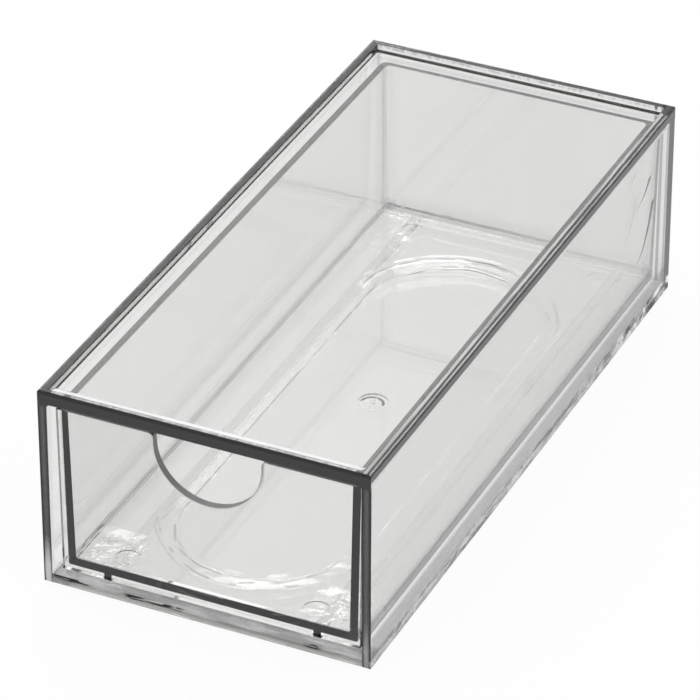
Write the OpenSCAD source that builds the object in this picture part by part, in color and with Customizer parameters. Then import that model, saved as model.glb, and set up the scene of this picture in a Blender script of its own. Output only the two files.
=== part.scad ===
// Stackable drawer box: a clear moulded case, open at the front, and the drawer that slides in it.
// The case is a cover (top, sides and back) closed below by a base plate. A raised rim round the
// top takes the plinth under the base of the next box.
// +X is right, +Y is back, +Z is up. The origin is the middle of the underside.

/* [Case] */
// Width of the case over its side walls
case_w = 102.8; // [90:0.2:160]
// Depth of the case from its open front to its back
case_d = 225; // [150:1:320]
// Height of the case from the lower edge of its walls to the top of the rim
case_h = 65; // [58:1:120]
// Thickness of the side, back and top walls
wall_t = 2.8; // [2:0.1:3.4]
// Draft of the side walls: how much thinner they are at the base plate
wall_draft = 0.2; // [0:0.05:0.8]
// Radius of the outer edges and corners
edge_r = 1; // [0.4:0.1:1.6]
// Bevel of the inner corners under the top and up the rear corners
ceiling_bevel = 0.8; // [0.3:0.1:2]

/* [Stacking] */
// Height of the rim above the top panel
rim_h = 1.6; // [1:0.1:2.4]
// Width of the rim's flat top along the open front
rim_front = 1; // [0.6:0.1:2]
// How far the rim slopes back from there down to the top panel
rim_ramp = 4; // [2:0.5:8]
// How much the other three inner faces of the rim lean
rim_lean = 0.4; // [0:0.1:0.8]
// How far the plinth stands below the walls
plinth_h = 1.4; // [0.8:0.1:2]
// Clearance round the plinth when it lies inside a rim
plinth_fit = 0.5; // [0.3:0.1:1]
// Corner radius of the plinth
stack_r = 2; // [1:0.5:4]

/* [Base plate] */
// Thickness of the base plate
base_t = 2.6; // [2:0.1:3]
// Gap between the base plate's edges and the walls it is bonded to
base_fit = 0.05; // [0.05:0.05:0.2]

/* [Drawer] */
// Setback of the drawer front from the case's open front
front_set = 2.9; // [1:0.1:6]
// Thickness of the drawer front
front_t = 2.4; // [2:0.1:3]
// Gap between the drawer front and each side wall at the top
front_gap = 1.4; // [0.6:0.1:2]
// Height of the drawer above the upper face of its floor
tray_inside = 50.4; // [40:0.2:51]
// Gap between the tray's side and the case wall at the top
tray_gap = 2.3; // [2:0.1:4]
// Thickness of the tray's side walls at the top
tray_wall = 2.2; // [1.4:0.1:2.6]
// Thickness of the tray's back wall
tray_back_t = 1.7; // [1.4:0.1:2.6]
// Outer draft of the tray's walls from top to bottom
tray_draft_out = 0.8; // [0.2:0.1:1]
// Inner draft of the tray's walls from top to bottom
tray_draft_in = 0.8; // [0.4:0.1:0.9]
// Thickness of the tray's floor
tray_floor = 2.7; // [2.2:0.1:3]
// Gap behind the tray when it is shut
back_gap = 0.6; // [0.4:0.1:8]
// Bevel between the tray's floor and its walls inside
floor_bevel = 0.6; // [0.3:0.1:0.7]
// Radius of the round between the tray's floor and its back wall
floor_round = 3; // [1:0.1:6]
// Bevel of the tray's lower edges outside
foot_bevel = 0.3; // [0.3:0.1:1.1]
// Radius of the tray's upright rear corners inside, at the top
corner_r = 1.6; // [1.6:0.1:5]
// Width of the wedges that brace the tray's sides against the drawer front
brace_w = 0.3; // [0.2:0.1:0.6]
// How far those wedges run back along the sides
brace_d = 0.8; // [0.4:0.1:2]

/* [Finger notch] */
// Width of the notch in the top edge of the drawer front
notch_w = 33.4; // [24:0.2:44]
// Depth of the notch
notch_d = 19.5; // [18:0.5:24]
// Radius where the notch meets the top edge
notch_r = 1.5; // [0.5:0.1:2.5]

/* [Runners and floor] */
// Distance between the two runners under the tray
runner_span = 66; // [40:1:70]
// Width of a runner
runner_w = 2.4; // [1.6:0.1:3]
// Height of a runner
runner_h = 2.1; // [1:0.1:3]
// Running clearance between the runners and the base plate
run_fit = 0.1; // [0.05:0.05:0.2]
// Width of the racetrack sunk in the floor
track_w = 64; // [40:1:64]
// Distance from the racetrack's ends to the drawer front
track_front = 6; // [6:0.5:20]
// Distance from the racetrack to the tray's back wall
track_back = 20.5; // [7:0.5:30]
// Width of the sloping bank round the racetrack
track_bank = 5.5; // [2:0.1:8]
// Depth of the racetrack
track_depth = 0.5; // [0.3:0.1:1]
// Radius of the round moulding marks on the floor
mark_r = 3.9; // [2:0.1:5]
// Radius of the dimple round the gate, under the middle of the floor
gate_mark_r = 4.7; // [3:0.1:6]
// Depth of the moulding marks
mark_depth = 0.25; // [0.1:0.05:0.4]

/* [Hidden] */

$fn = 64;
cut = 1;                                // how far a cutting solid runs past a face

// Case, from the underside of the plinth upwards
y_front = -case_d / 2;
y_back = case_d / 2;
z_wall = plinth_h;                      // lower edge of the walls
z_top = plinth_h + case_h;              // top of the rim
z_panel = z_top - rim_h;                // upper face of the top panel
z_ceiling = z_panel - wall_t;           // lower face of the top panel
z_base = z_wall + base_t;               // upper face of the base plate
half_top = case_w / 2 - wall_t;         // half width between the walls under the top
half_foot = half_top + wall_draft;      // half width between the walls at their lower edge
y_inner = y_back - wall_t;              // inner face of the back wall

// Drawer
y_face = y_front + front_set;           // front of the drawer
y_tray = y_face + front_t;              // where the tray begins behind it
y_tray_back = y_inner - back_gap;
z_under = z_base + run_fit + runner_h;  // underside of the tray
z_floor = z_under + tray_floor;         // upper face of the tray's floor
z_rim = z_floor + tray_inside;          // top edge of the drawer
z_skirt = z_base + run_fit + 1;         // lower edge of the drawer front
half_front = half_top - front_gap;
half_tray = half_top - tray_gap;
half_in = half_tray - tray_wall;
y_in_back = y_tray_back - tray_back_t;  // inner face of the tray's back wall at the top
front_draft = 0.4;                      // the drawer front is narrower at its lower edge
corner_out = corner_r + 0.6;            // radius of the tray's upright rear corners outside
mark_in = 16.5;                         // from the tray's side to a corner mark
mark_front = 6.2;                       // from the drawer front to the front marks
mark_back = 13.6;                       // from the tray's back to the rear marks
gate_r = 0.8;                           // stub left by the moulding gate
gate_h = 0.3;

// A rectangle with round corners, centred
module round_rect(w, d, r) {
    square([w - 2 * r, d], center = true);
    square([w, d - 2 * r], center = true);
    for (sx = [-1, 1], sy = [-1, 1])
        translate([sx * (w / 2 - r), sy * (d / 2 - r)]) circle(r);
}

// Stands a flat outline in the XZ plane up and runs it from y0 to y1
module along_y(y0, y1)
    translate([0, y1, 0]) rotate([90, 0, 0]) linear_extrude(y1 - y0) children();

// Stands a flat outline in the YZ plane up and runs it across, centred on X
module along_x(w)
    rotate([90, 0, 90]) linear_extrude(w, center = true) children();

// Half of a drafted trough outline in X and Z: half width b at z0 and t at z1, with a bevel c
// between the floor and the leaning wall
module trough_half(b, t, z0, z1, c)
    polygon([
        [0, z0],
        [b - c, z0],
        [b + (t - b) * c / (z1 - z0), z0 + c],
        [t, z1],
        [0, z1]
    ]);

module trough(b, t, z0, z1, c)
    for (s = [0, 1]) mirror([s, 0]) trough_half(b, t, z0, z1, c);

// Outside of the cover, its long top edges and its rear edges rounded
module cover_block() {
    intersection() {
        translate([0, 0, z_wall]) linear_extrude(case_h) union() {
            round_rect(case_w, case_d, edge_r);
            translate([-case_w / 2, y_front]) square([case_w, edge_r]);
        }
        along_y(y_front - cut, y_back + cut) union() {
            translate([0, (z_wall + z_top) / 2]) round_rect(case_w, case_h, edge_r);
            translate([-case_w / 2, z_wall]) square([case_w, edge_r]);
        }
        along_x(case_w + 2 * cut) union() {
            translate([0, (z_wall + z_top) / 2]) round_rect(case_d, case_h, edge_r);
            translate([y_front, z_wall]) square([case_d / 2, case_h]);
            translate([y_front, z_wall]) square([case_d, edge_r]);
        }
    }
}

// Cavity of the cover, open in front and below
module cavity() {
    half = half_foot + wall_draft * cut / (z_ceiling - z_wall);
    difference() {
        along_y(y_front - cut, y_inner)
            translate([0, z_ceiling]) mirror([0, 1])
                trough(half_top, half, 0, z_ceiling - z_wall + cut, ceiling_bevel);
        rear_bevels();
    }
}

// Bars that bevel the cavity's rear edges: one under the top and one up each corner, which ends
// on the base plate
module rear_bevels() {
    along_x(case_w) bevel_outline(y_inner, z_ceiling);
    for (s = [0, 1])
        mirror([s, 0, 0]) translate([0, 0, z_base + base_fit])
            linear_extrude(z_top) bevel_outline(half_top, y_inner);
}

// Triangle that fills the corner at (x, y) of two faces by the bevel's width
module bevel_outline(x, y) {
    far = ceiling_bevel + cut;
    polygon([[x + cut, y + cut], [x - far, y + cut], [x + cut, y - far]]);
}

// Recess inside the rim, which takes the plinth of the box above
module stack_recess() {
    y0 = y_front + rim_front;
    intersection() {
        along_x(case_w) polygon([
            [y0, z_top + cut],
            [y0, z_top],
            [y0 + rim_ramp, z_panel],
            [y_inner - rim_lean, z_panel],
            [y_inner, z_top],
            [y_inner, z_top + cut]
        ]);
        along_y(y_front, y_back) polygon([
            [-half_top, z_top + cut],
            [-half_top, z_top],
            [-half_top + rim_lean, z_panel],
            [half_top - rim_lean, z_panel],
            [half_top, z_top],
            [half_top, z_top + cut]
        ]);
    }
}

module housing_cover() {
    color([0.86, 0.87, 0.86, 0.5]) difference() {
        cover_block();
        cavity();
        stack_recess();
    }
}

module base_plate() {
    lean = wall_draft / (z_ceiling - z_wall);
    foot = half_foot - base_fit;
    plinth_w = 2 * (half_top - rim_lean - plinth_fit);
    plinth_y0 = y_front + rim_front + rim_ramp + plinth_fit;
    plinth_y1 = y_inner - rim_lean - plinth_fit;
    color([0.80, 0.82, 0.81, 0.5]) {
        along_y(y_front, y_inner - base_fit) polygon([
            [-foot, z_wall],
            [foot, z_wall],
            [foot - lean * base_t, z_base],
            [-foot + lean * base_t, z_base]
        ]);
        translate([0, (plinth_y0 + plinth_y1) / 2, 0])
            linear_extrude(z_wall + base_t / 2)
                round_rect(plinth_w, plinth_y1 - plinth_y0, stack_r);
    }
}

// Front panel of the drawer, narrower at its lower edge
module drawer_front() {
    along_y(y_face, y_tray) polygon([
        [-half_front + front_draft, z_skirt],
        [half_front - front_draft, z_skirt],
        [half_front, z_rim],
        [-half_front, z_rim]
    ]);
}

// A drafted box with round corners: half widths in X, y0 to y1 at its top edge, its walls
// leaning in by draft towards z0, upright corners of radius corner, lower edges bevelled by foot
module bowl(half, y0, y1, z0, z1, draft, corner, foot) {
    half_y = (y1 - y0) / 2;
    cx = half - corner;
    cy = half_y - corner;
    translate([0, (y0 + y1) / 2, 0]) {
        along_y(-cy, cy) trough(half - draft, half, z0, z1, foot);
        along_x(2 * cx) trough(half_y - draft, half_y, z0, z1, foot);
        for (sx = [0, 1], sy = [0, 1])
            mirror([sx, 0, 0]) mirror([0, sy, 0]) translate([cx, cy, 0])
                rotate_extrude(angle = 90) trough_half(corner - draft, corner, z0, z1, foot);
    }
}

// Whatever of the children lies behind y and below z
module behind(y, z)
    intersection() {
        children();
        translate([-case_w / 2, y, 0]) cube([case_w, case_d, z]);
    }

// Outside of the tray, begun inside the drawer front
module tray_outside() {
    behind(y_face + front_t / 2, z_top)
        bowl(half_tray, y_face - 2 * corner_out, y_tray_back, z_under, z_rim,
            tray_draft_out, corner_out, foot_bevel);
}

// Inside of the tray, with sharp corners against the drawer front and its floor rounded up at
// the back
module tray_inside_space() {
    over = (z_rim - z_floor + cut) / (z_rim - z_floor);
    grow = tray_draft_in * (over - 1);
    corner = corner_r + grow;
    difference() {
        behind(y_tray, z_top)
            bowl(half_in + grow, y_tray - 2 * corner, y_in_back + grow,
                z_floor, z_rim + cut, tray_draft_in * over, corner, floor_bevel);
        braces();
        rear_round();
    }
}

// Round between the floor and the back wall, in facets, let into both by a little
module rear_round() {
    let_in = 0.1;
    y = y_in_back - tray_draft_in + let_in;
    z = z_floor - let_in;
    along_x(2 * half_tray) polygon([
        [y + cut, z - cut],
        [y + cut, z + floor_round],
        for (a = [90:-18:0]) [y - floor_round * (1 - sin(a)), z + floor_round * (1 - cos(a))],
        [y - floor_round, z - cut]
    ]);
}

// Wedges that brace the tray's sides against the back of the drawer front. Leaning more than the
// sides do, they run from the outer face at the top to the inner face at the bottom.
module braces() {
    height = z_rim - z_under;
    lean = atan((tray_draft_out + brace_w) / height);
    for (s = [0, 1])
        mirror([s, 0, 0]) behind(y_face + front_t / 2, z_rim)
            translate([half_tray, y_tray, z_rim]) rotate([0, lean, 0])
                translate([0, 0, -height + foot_bevel]) linear_extrude(height - foot_bevel + cut)
                    polygon([
                        [-tray_wall, -front_t],
                        [brace_w, -front_t],
                        [brace_w, 0],
                        [0, brace_d],
                        [brace_w - tray_wall, brace_d],
                        [-tray_wall, 0]
                    ]);
}

// Finger notch: a round cut whose ends ease into the top edge
module notch() {
    r = notch_w / 2;
    zc = z_rim - (notch_d - r);
    ease = r + notch_r;
    along_y(y_face - cut, y_tray + cut) {
        translate([0, zc]) circle(r);
        translate([-r, zc]) square([notch_w, z_rim - zc + cut]);
        difference() {
            translate([-ease, z_rim - notch_r]) square([2 * ease, notch_r + cut]);
            for (s = [-1, 1]) translate([s * ease, z_rim - notch_r]) circle(notch_r);
        }
    }
}

// Sunk racetrack: two cones joined by a prism, so that its bank slopes all round
module racetrack() {
    r = track_w / 2;
    y0 = y_tray + track_front + r;
    y1 = y_in_back - track_back - r;
    slope = track_bank / track_depth;
    z0 = z_floor - track_depth;
    top = r + slope * cut;
    for (y = [y0, y1])
        translate([0, y, z0]) cylinder(h = track_depth + cut, r1 = r - track_bank, r2 = top);
    along_y(y0, y1) polygon([
        [-r + track_bank, z0],
        [r - track_bank, z0],
        [top, z_floor + cut],
        [-top, z_floor + cut]
    ]);
}

// Round marks left in the floor by the mould's ejector pins
module ejector_marks() {
    x = half_tray - mark_in;
    for (s = [-1, 1], y = [y_tray + mark_front, y_tray_back - mark_back])
        translate([s * x, y, z_floor - mark_depth]) cylinder(h = mark_depth + cut, r = mark_r);
}

// Gate mark under the middle of the floor: a round dimple with the stub of the gate in it
module gate_mark() {
    y = (y_tray + y_tray_back) / 2;
    difference() {
        translate([0, y, z_under - cut]) cylinder(h = mark_depth * 2 + cut, r = gate_mark_r);
        translate([0, y, z_under + mark_depth * 2 - gate_h]) cylinder(h = gate_h + cut, r = gate_r);
    }
}

module runners() {
    for (s = [-1, 1])
        translate([s * runner_span / 2 - runner_w / 2, y_tray - front_t / 2, z_base + run_fit])
            cube([runner_w, y_tray_back - y_tray - corner_r, runner_h + tray_floor / 2]);
}

module drawer() {
    color([0.78, 0.80, 0.79, 0.5]) difference() {
        union() {
            drawer_front();
            tray_outside();
            braces();
            runners();
        }
        tray_inside_space();
        notch();
        racetrack();
        ejector_marks();
        gate_mark();
    }
}

housing_cover();
base_plate();
drawer();
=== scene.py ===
"""Stackable drawer box in clear polystyrene: materials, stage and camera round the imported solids.

Everything is in metres in the part's own frame: +X right, +Y back, +Z up, origin on the floor.
"""

import math

import bpy
from mathutils import Matrix, Vector


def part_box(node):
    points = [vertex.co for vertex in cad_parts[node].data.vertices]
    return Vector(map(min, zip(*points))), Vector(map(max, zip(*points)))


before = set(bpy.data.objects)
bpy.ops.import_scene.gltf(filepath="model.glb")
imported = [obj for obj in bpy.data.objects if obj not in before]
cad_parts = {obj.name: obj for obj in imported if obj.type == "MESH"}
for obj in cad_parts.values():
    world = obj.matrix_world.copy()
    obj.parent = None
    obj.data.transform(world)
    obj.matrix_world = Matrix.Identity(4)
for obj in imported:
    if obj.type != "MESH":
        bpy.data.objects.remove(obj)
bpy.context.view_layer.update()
scene = bpy.context.scene


class Socket:
    """A node's output, with arithmetic that adds Math nodes."""

    def __init__(self, tree, out):
        self.tree, self.out = tree, out

    def math(self, operation, *others):
        return self.tree.add("ShaderNodeMath", {"operation": operation}, (self, *others))

    def __add__(self, other):
        return self.math("ADD", other)

    __radd__ = __add__

    def __mul__(self, other):
        return self.math("MULTIPLY", other)

    __rmul__ = __mul__

    def __sub__(self, other):
        return self.math("SUBTRACT", other)

    def __rsub__(self, other):
        return self.tree.add("ShaderNodeMath", {"operation": "SUBTRACT"}, (other, self))

    def __truediv__(self, other):
        return self.math("DIVIDE", other)

    def __abs__(self):
        return self.math("ABSOLUTE")

    def sqrt(self):
        return self.math("SQRT")

    def most(self, other):
        return self.math("MAXIMUM", other)

    def clamp(self):
        return self.tree.add("ShaderNodeClamp", {}, (self,))

    def above(self, edge, soft):
        """0 below the edge and 1 above it, fading over soft."""
        return ((self - edge) / soft + 0.5).clamp()

    def below(self, edge, soft):
        return 1 - self.above(edge, soft)

    def near(self, middle, half, soft):
        """1 within half of the middle, fading to 0 over soft outside."""
        return (1 + (half - abs(self - middle)) / soft).clamp()


class Tree:
    """A material's or world's nodes."""

    def __init__(self, owner):
        owner.use_nodes = True
        self.nodes, self.links = owner.node_tree.nodes, owner.node_tree.links
        self.nodes.clear()

    def add(self, kind, settings, sockets=(), out=0):
        """One node of that kind: its settings first, then its sockets by place or name, each
        given a value or linked to a Socket. Returns one output as a Socket."""
        node = self.nodes.new(kind)
        for name, value in settings.items():
            setattr(node, name, value)
        named = sockets.items() if isinstance(sockets, dict) else enumerate(sockets)
        for key, value in named:
            if isinstance(value, Socket):
                self.links.new(value.out, node.inputs[key])
            elif value is not None:
                node.inputs[key].default_value = value
        return Socket(self, node.outputs[out]) if node.outputs else node

    def place(self):
        """The surface's place in the part's frame: the vector and its X, Y and Z."""
        vector = self.add("ShaderNodeTexCoord", {}, out="Object")
        return vector, *(self.add("ShaderNodeSeparateXYZ", {}, (vector,), out=k) for k in "XYZ")

    def noise(self, vector, scale, detail=2.0, stretch=(1, 1, 1), shift=(0, 0, 0)):
        """Noise of about 1 / scale metres, from 0 to 1, drawn out where stretch is below 1."""
        vector = self.add("ShaderNodeMapping", {}, {
            "Vector": vector, "Scale": stretch, "Location": shift})
        return self.add("ShaderNodeTexNoise", {}, {
            "Vector": vector, "Scale": scale, "Detail": detail})

    def grey(self, value):
        """A grey of that lightness, from 0 to 1."""
        return self.add("ShaderNodeMix", {"data_type": "RGBA"}, {
            "Factor": value.clamp(), 6: (0, 0, 0, 1), 7: (1, 1, 1, 1)}, out=2)


# Clear polystyrene -------------------------------------------------------------------------

INDEX = 1.59          # refractive index of polystyrene
ABSORPTION = 45.0     # light lost per metre of plastic
TINT = (0.12, 0.125, 0.09, 1)
FLOW = 0.04           # height of the long waves, in millimetres
RIPPLE = 0.002        # height of the ripple, in millimetres
MATT_DARK, MATT_WHITE = 0.02, 0.95    # greys of the dark and the white matt marks: painted shade, painted highlights and real flaws


def clear_plastic(name, seed, marks):
    """Clear plastic. marks(t, vector, x, y, z) gives what is special to a piece: how much light
    its surface lets through, its haze, its relief in millimetres, and how much of it is covered
    by dark and by white matt marks: painted shade, painted highlights and real flaws."""
    material = bpy.data.materials.new(name)
    t = Tree(material)
    vector, x, y, z = t.place()
    clear, haze, relief, dark, white = marks(t, vector, x, y, z)

    # the plastic flowed in waves a few centimetres long, and cooled with a faint ripple on it
    flow = t.noise(vector, 24.0, shift=(seed, 0, 0))
    ripple = t.noise(vector, 160.0, 1.0, shift=(0, seed, 0))
    # fine rubbed lines, mostly the long way, in patches
    line = t.noise(vector, 900.0, 3.0, stretch=(1.0, 0.03, 1.0), shift=(0, 0, seed))
    patch = t.noise(vector, 30.0, 3.0, shift=(seed, seed, 0)).above(0.56, 0.12)
    rubbed = line.above(0.66, 0.05) * patch
    bump = t.add("ShaderNodeBump", {}, {
        "Strength": 1.0, "Distance": 0.001,
        "Height": flow * FLOW + ripple * RIPPLE + relief - rubbed * 0.002})
    glass = t.add("ShaderNodeBsdfPrincipled", {}, {
        "Base Color": t.grey((1 - rubbed * 0.04) * clear),
        "Roughness": (haze + rubbed * 0.12).clamp(),
        "IOR": INDEX,
        "Transmission Weight": 1.0,
        "Normal": bump,
    })
    # the matt marks: real flaws, painted shade and painted highlights
    flaws_and_painted_light = dark + white
    matt = t.add("ShaderNodeBsdfPrincipled", {}, {
        "Base Color": t.grey(MATT_DARK + white / (flaws_and_painted_light + 0.0001) * (MATT_WHITE - MATT_DARK)),
        "Roughness": 0.6, "Specular IOR Level": 0.0, "Normal": bump})
    both = t.add("ShaderNodeMixShader", {}, (flaws_and_painted_light.clamp(), glass, matt))
    body = t.add("ShaderNodeVolumeAbsorption", {}, {"Color": TINT, "Density": ABSORPTION})
    t.add("ShaderNodeOutputMaterial", {}, {"Surface": both, "Volume": body})
    return material


# Where things lie on the three pieces, as in the part's source
low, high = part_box("housing_cover")
CASE_X, CASE_FRONT, CASE_BACK, CASE_TOP = high[0], low[1], high[1], high[2]
low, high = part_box("drawer")
PANEL_X, PANEL_FRONT, TRAY_BACK, DRAWER_TOP = high[0], low[1], high[1], high[2]
WALL = 0.0028                         # thickness of the case's walls
BASE_TOP = 0.0040                     # upper face of the base plate
PANEL_TOP = CASE_TOP - 0.0016         # upper face of the top panel
RAMP_Y = CASE_FRONT + 0.0031          # middle of the rim's front ramp
TRAY_FLOOR = 0.0089                   # upper face of the tray's floor
GATE_DIMPLE = TRAY_FLOOR - 0.0022     # bottom of the dimple under the middle of the floor
TRACK_R, TRACK_BANK = 0.032, 0.0055   # the racetrack's end radius and the width of its bank
TRACK_Y = (-0.0692, 0.0549)           # centres of its two round ends
NOTCH_R = 0.0167                      # radius of the finger notch
NOTCH_Z = DRAWER_TOP - 0.0195 + NOTCH_R

# Where the moulding and the bond have left their marks, and where shade is painted
BOND_TOP = 0.0046                     # how high the bond has crept up the walls, with painted shade over it
SHADE_STRIP_Z, SHADE_STRIP_HALF = 0.0078, 0.0030      # middle and half height of the strip of painted shade above it
SHADE_STRIP_DARKNESS = 0.65                            # how much the painted shade darkens this strip
BAND_END = 0.0612                     # top of the walls' front ends, below the dark band
LIP_BACK = PANEL_FRONT + 0.0038       # how far back the base plate's front is streaked by the bond and painted with shade
GATE_R = 0.0035                       # radius of the dark arc painted round the gate as shade
# flow marks in the right wall: y of the lower end and reach in y, z of the lower end and height
FLOW_MARKS = ((0.0842, 0.0094, 0.0451, 0.0057), (0.0855, 0.0113, 0.0250, 0.0160))
# dashes of painted shade along the base plate's front: middle and half length in x
FRONT_SHADE_DASHES = ((-0.0430, 0.0050), (-0.0165, 0.0080), (0.0335, 0.0012))


def cover_marks(t, vector, x, y, z):
    """Housing cover: its bonded edge, rear corners, rim and open front, much of it with painted
    shade and painted highlights, and two flow marks.
    """
    side = abs(x)
    on_right = x.above(0.0, 0.001)
    right_face = x.above(CASE_X - 0.0005, 0.0004)
    above_base = z.above(BASE_TOP + 0.0002, 0.0002)

    # the walls are streaked where they are bonded and painted darker there, as shade of the shadow
    # under the box; above that the right one has a strip of painted shade from the gap under the
    # drawer, and is darker low down towards the rear, and the back wall is darker all over
    streak = t.noise(vector, 420.0, 3.0, stretch=(0.25, 0.12, 1.0)).above(0.5, 0.2)
    bond = z.below(BOND_TOP, 0.0012)
    shade_strip = z.near(SHADE_STRIP_Z, SHADE_STRIP_HALF, 0.0015) * right_face * y.above(CASE_FRONT + 0.0006, 0.0003)
    low_rear_dark = z.below(0.0150, 0.0120) * y.above(0.050, 0.060) * right_face
    rear = y.above(CASE_BACK - 0.0003, 0.0002)
    clear = (1 - bond * (0.05 + streak * 0.20)) * (1 - shade_strip * SHADE_STRIP_DARKNESS) * (1 - rear * 0.12)
    clear = clear * (1 - low_rear_dark * 0.30)

    # dark specks, and white specks painted as glints, in the bond along the right side, most of all
    # at the rear
    speck = t.noise(vector, 420.0, 2.0, stretch=(1.0, 0.5, 1.0), shift=(5, 0, 3))
    speck_zone = z.below(0.0062, 0.0012) * right_face * (0.25 + 0.75 * y.above(0.070, 0.05))
    dark = speck.below(0.40, 0.03) * speck_zone * 0.7
    white = speck.above(0.57, 0.03) * speck_zone * 0.9

    # the fillets up the rear corners gather the shade of both walls
    corner = side.above(0.04765, 0.0003) * side.below(CASE_X - WALL + 0.0001, 0.0002)
    corner = corner * y.above(CASE_BACK - 0.0037, 0.0003) * above_base
    dark = dark + corner * (0.10 + 0.45 * on_right)
    line = x.near(0.0459, 0.0004, 0.0002) * y.near(CASE_BACK - WALL, 0.0002, 0.0002)
    dark = dark + line * above_base * 0.7

    # lines of painted shade along the rim's edges, with a faint relief
    long_line = t.noise(vector, 700.0, 3.0, stretch=(1.0, 0.06, 1.0))
    cross_line = t.noise(vector, 700.0, 3.0, stretch=(0.06, 1.0, 1.0))
    crosswise = y.above(CASE_BACK - WALL, 0.0006)
    rim_line = (long_line * (1 - crosswise) + cross_line * crosswise).above(0.5, 0.15)
    rim = z.above(CASE_TOP - 0.0009, 0.0006)
    clear = clear * (1 - rim * (0.12 + 0.45 * rim_line))

    # the band across the front is painted darkest along its top as shade, with a painted highlight
    # in a white line on the ramp behind
    band = y.below(CASE_FRONT + 0.0002, 0.0002)
    ramp = y.near(RAMP_Y, 0.0013, 0.0005) * z.above(PANEL_TOP - 0.0001, 0.0002)
    dark = dark + band * z.above(CASE_TOP - 0.0012, 0.0008) * 0.5
    white = white + ramp * side.below(0.0478, 0.0006) * 0.8

    # the walls' front ends, painted dark along their edges as shade and pale between as painted
    # light, most of all low down
    low = z.below(0.0125, 0.0100) * (1 - on_right * 0.6)
    off_middle = abs(side - (CASE_X - WALL / 2))
    end = band * z.below(BAND_END, 0.0006)
    white = white + end * off_middle.below(0.0006 + low * 0.0003, 0.0006) * (0.06 + 0.50 * low)
    dark = dark + end * off_middle.above(0.0011, 0.0005) * 0.5

    # two curved flow marks in the right wall near the back, steeper and wider towards the top
    mark = 0.0
    for start, reach, foot, height in FLOW_MARKS:
        rise = ((z - foot) / height).clamp()
        off_curve = abs(y - (start + reach * rise.sqrt()))
        mark = mark + (off_curve.below(0.0005 + 0.0008 * rise, 0.0003)
            * z.near(foot + height / 2, height / 2, 0.0004))
    mark = mark * x.near(CASE_X - WALL, 0.0009, 0.0003)

    haze = bond * 0.10
    relief = bond * streak * 0.12 + mark * 0.02 + rim * rim_line * 0.008
    return clear, haze, relief, dark + mark * 0.8, white


def base_marks(t, vector, x, y, z):
    """Base plate: its front edge, streaked by the bond and painted with shade and reflections, and
    the seam round the other three, streaked by the bond.
    """
    streak = t.noise(vector, 500.0, 3.0, stretch=(0.10, 0.30, 1.0)).above(0.5, 0.16)
    # the front edge is painted darker, as shade of the shadow under the box, most at its top, with
    # the bond's streaks in it
    lip = y.below(LIP_BACK, 0.0008)
    top = z.above(0.0026, 0.0012)
    clear = 1 - lip * (0.12 + 0.40 * top + streak * (0.12 + 0.16 * top))
    seam = abs(x).above(0.0466, 0.0010).most(y.above(TRAY_BACK + 0.0002, 0.0008))
    seam_streak = t.noise(vector, 420.0, 3.0, stretch=(0.5, 0.12, 1.0)).above(0.5, 0.2)
    clear = clear * (1 - seam * (0.06 + 0.12 * seam_streak))

    # dark dashes of painted shade along the front edge, and pale ones low on it as painted
    # reflections
    dash_noise = t.noise(vector, 600.0, 2.0, stretch=(0.30, 0.5, 4.0), shift=(3, 1, 0))
    edge = y.below(CASE_FRONT + 0.0006, 0.0002)
    where = sum((x.near(at, half, 0.002) for at, half in FRONT_SHADE_DASHES), 0.0)
    dash_zone = where * z.near(BASE_TOP - 0.0003, 0.0005, 0.0004) * edge
    dark = dash_noise.above(0.46, 0.04) * dash_zone * 0.95
    white = dash_noise.below(0.38, 0.03) * edge * z.below(0.0020, 0.0004) * 0.5

    haze = lip * 0.10 + seam * 0.10
    relief = lip * streak * 0.08 + seam * seam_streak * 0.04
    return clear, haze, relief, dark, white


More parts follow.
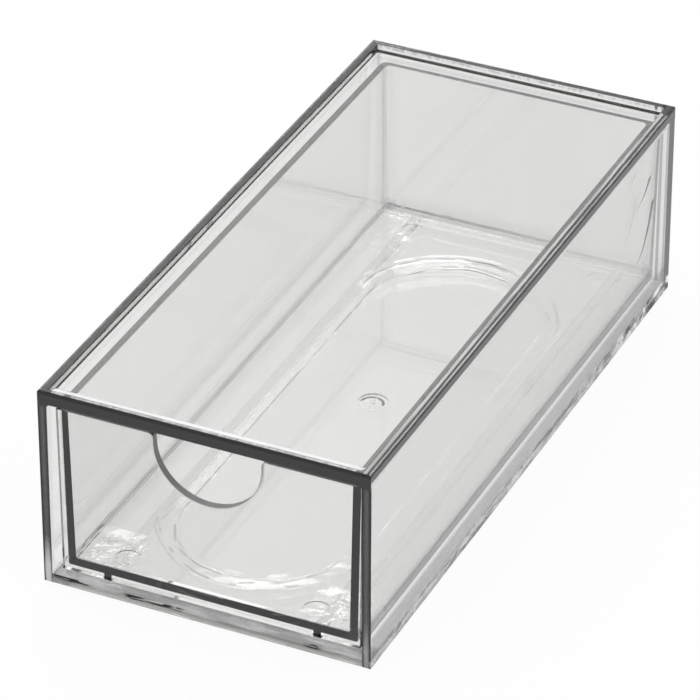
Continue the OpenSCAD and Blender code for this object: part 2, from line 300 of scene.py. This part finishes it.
def drawer_marks(t, vector, x, y, z):
    """Drawer: the racetrack's beads with painted highlights and shade beside them, lumps in the
    floor's corners, a dark arc painted round the gate, the notch's matt edge.
    """
    side = abs(x)
    floor = z.near(TRAY_FLOOR - 0.0003, 0.0006, 0.0002) * y.above(PANEL_FRONT + 0.0027, 0.0002)

    # the racetrack's edges: a bead on each, which breaks up round the two ends. out is the way
    # out from the track's long middle line, so each edge is a line of constant out
    middle, half = (TRACK_Y[0] + TRACK_Y[1]) / 2, (TRACK_Y[1] - TRACK_Y[0]) / 2
    inner_r = TRACK_R - TRACK_BANK
    past = (abs(y - middle) - half).most(0.0)
    out = (x * x + past * past).sqrt()
    wobble = (t.noise(vector, 60.0, 2.0) - 0.5) * 0.0026
    broken = t.noise(vector, 75.0, 2.0, shift=(0, 4, 0))
    ends = past.above(0.006, 0.008)
    outer = (out + wobble).near(TRACK_R, 0.00005, 0.0006) * ends
    inner = (out - wobble * ends).near(inner_r, 0.00005, 0.0005)
    beads = (outer + inner * (ends * 2 - 1)) * broken.above(0.44, 0.12)
    wave = t.noise(vector, 110.0, 1.0, shift=(1, 6, 0)) * out.near(TRACK_R - 0.003, 0.003, 0.002)

    # painted highlights and painted shade in strokes beside the beads, and a faint line of painted
    # shade along the left straight
    white = (out + wobble * 1.4).near(TRACK_R - 0.0008, 0.00025, 0.0004) * ends
    white = white + (out - wobble).near(inner_r + 0.0012, 0.0002, 0.0004) * ends
    white = white * broken.above(0.54, 0.05) * 0.6
    dark = (out - wobble).near(inner_r + 0.0003, 0.0001, 0.0003)
    dark = dark + (out + wobble).near(TRACK_R + 0.0004, 0.0001, 0.0003) * ends
    dark = dark * broken.below(0.54, 0.08) * 0.14 * ends
    straight = past.below(0.004, 0.006) * x.below(0.0, 0.001)
    dark = dark + out.near(inner_r + 0.0001, 0.0001, 0.0002) * straight * 0.16

    # plastic gathered in lumps in the corners of the floor, most of all at the front
    corner = side.above(0.028, 0.004) * abs(y - middle).above(0.084, 0.005)
    corner = corner * (1 - (0.6 + 0.25 * x.above(0.0, 0.001)) * y.above(0.0, 0.001))
    lump = t.noise(vector, 210.0, 2.0, shift=(7, 2, 0))

    # a dark arc painted round the gate as shade, in the dimple under the floor
    arc = (x * x + y * y).sqrt().near(GATE_R, 0.0003, 0.0002) * y.above(0.0002, 0.0010)
    arc = arc * z.near(GATE_DIMPLE, 0.0002, 0.0001)
    # the front's side edges are in the dark of the gap round them
    gap = side.above(PANEL_X - 0.0012, 0.0002) * y.near(PANEL_FRONT + 0.0012, 0.0010, 0.0001)
    # the notch's cut edge is left matt, and so are the folds between the floor and the walls
    notch = (x * x + (z - NOTCH_Z) * (z - NOTCH_Z)).sqrt().near(NOTCH_R, 0.0003, 0.0002)
    notch = notch * y.below(PANEL_FRONT + 0.0026, 0.0002) * z.above(0.030, 0.002)
    side_fold = side.near(0.0430, 0.0020, 0.0003) * z.near(TRAY_FLOOR - 0.0006, 0.0022, 0.0003)
    rear_fold = y.above(0.1036, 0.0008) * z.near(0.0105, 0.0017, 0.0004)

    haze = (notch * 0.4 + rear_fold * 0.15 + side_fold * 0.20).clamp()
    relief = (beads * 0.10 + wave * ends * 0.25 + corner * lump * 0.90) * floor
    dark = dark * floor + arc + gap * 0.6 + notch * 0.10
    white = white * floor + notch * 0.22
    return 1.0, haze, relief, dark, white


MARKS = {"housing_cover": cover_marks, "base_plate": base_marks, "drawer": drawer_marks}
for seed, (node, marks) in enumerate(MARKS.items()):
    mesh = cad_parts[node].data
    mesh.materials.clear()
    mesh.materials.append(clear_plastic(node + "_plastic", 1.0 + seed, marks))


# Stage -------------------------------------------------------------------------------------

FLOOR_COLOUR = (0.93, 0.93, 0.93, 1)
FLOOR_WHITE = 0.94    # share of the floor's look that no shadow reaches
HALF = 3.0            # half width of the floor
WHITE = (1, 1, 1, 1)


def floor_material():
    """White floor: mostly its own plain white to a ray from the camera, off a gloss or through
    clear plastic. The rest of it, and all of it to any other ray, takes the shadow."""
    material = bpy.data.materials.new("floor")
    t = Tree(material)
    camera, gloss, through = (t.add("ShaderNodeLightPath", {}, out=k)
        for k in ("Is Camera Ray", "Is Glossy Ray", "Is Transmission Ray"))
    looked_at = (camera + gloss + through).clamp()
    lit = t.add("ShaderNodeBsdfDiffuse", {}, {"Color": FLOOR_COLOUR})
    white = t.add("ShaderNodeEmission", {}, {"Color": WHITE, "Strength": 1.0})
    mix = t.add("ShaderNodeMixShader", {}, (looked_at * FLOOR_WHITE, lit, white))
    t.add("ShaderNodeOutputMaterial", {}, {"Surface": mix})
    return material


mesh = bpy.data.meshes.new("floor")
mesh.from_pydata([(x, y, 0) for x, y in
    ((-HALF, -HALF), (HALF, -HALF), (HALF, HALF), (-HALF, HALF))], [], [(0, 1, 2, 3)])
mesh.materials.append(floor_material())
floor = bpy.data.objects.new("floor", mesh)
scene.collection.objects.link(floor)

# Softboxes in the white surroundings: direction, cosine where each ends and begins, brightness
SOFTBOXES = (
    ((-0.32, 0.81, 0.49), 0.970, 0.999, 0.10),
    ((-0.46, 0.71, 0.56), 0.985, 0.998, 0.40),
    ((-0.392, 0.845, 0.36), 0.9925, 0.998, 6.0),
    ((-0.25, 0.54, 0.81), 0.994, 0.998, 6.0),
    ((-0.50, 0.766, 0.429), 0.9975, 0.9995, 4.0),
)
BRIGHTEST = 6.0       # how much brighter than the surroundings the brightest softbox is
world = bpy.data.worlds.new("studio")
scene.world = world
t = Tree(world)
direction = t.add("ShaderNodeTexCoord", {}, out="Generated")
share = 0.0
for toward, edge, core, bright in SOFTBOXES:
    cosine = t.add("ShaderNodeVectorMath", {"operation": "DOT_PRODUCT"},
        (direction, tuple(Vector(toward).normalized())), out="Value")
    share = share + bright / BRIGHTEST * ((cosine - edge) / (core - edge)).clamp()
air = t.add("ShaderNodeBackground", {}, {"Color": WHITE, "Strength": 1.0})
lamp = t.add("ShaderNodeBackground", {}, {"Color": WHITE, "Strength": 1.0 + BRIGHTEST})
t.add("ShaderNodeOutputWorld", {}, {
    "Surface": t.add("ShaderNodeMixShader", {}, (share.clamp(), air, lamp))})


# Camera ------------------------------------------------------------------------------------

AZIMUTH, ELEVATION = math.radians(24.9085), math.radians(32.3915)
CAMERA_PLACE = (0.4967422, -1.0851652, 0.785515)
back = Vector((
    math.sin(AZIMUTH) * math.cos(ELEVATION),
    -math.cos(AZIMUTH) * math.cos(ELEVATION),
    math.sin(ELEVATION),
))
right = Vector((math.cos(AZIMUTH), math.sin(AZIMUTH), 0))
turn = Matrix((right, back.cross(right), back)).transposed().to_4x4()
camera = bpy.data.objects.new("camera", bpy.data.cameras.new("camera"))
scene.collection.objects.link(camera)
camera.data.sensor_width = 36.0
camera.data.lens = 244.069
camera.data.clip_start = 0.05
camera.data.clip_end = 20.0
camera.matrix_world = Matrix.Translation(CAMERA_PLACE) @ turn
scene.camera = camera

scene.view_settings.view_transform = "Standard"
# most rays cross many faces of clear plastic
scene.cycles.max_bounces = 32
scene.cycles.transmission_bounces = 32
scene.cycles.glossy_bounces = 16
scene.cycles.diffuse_bounces = 4
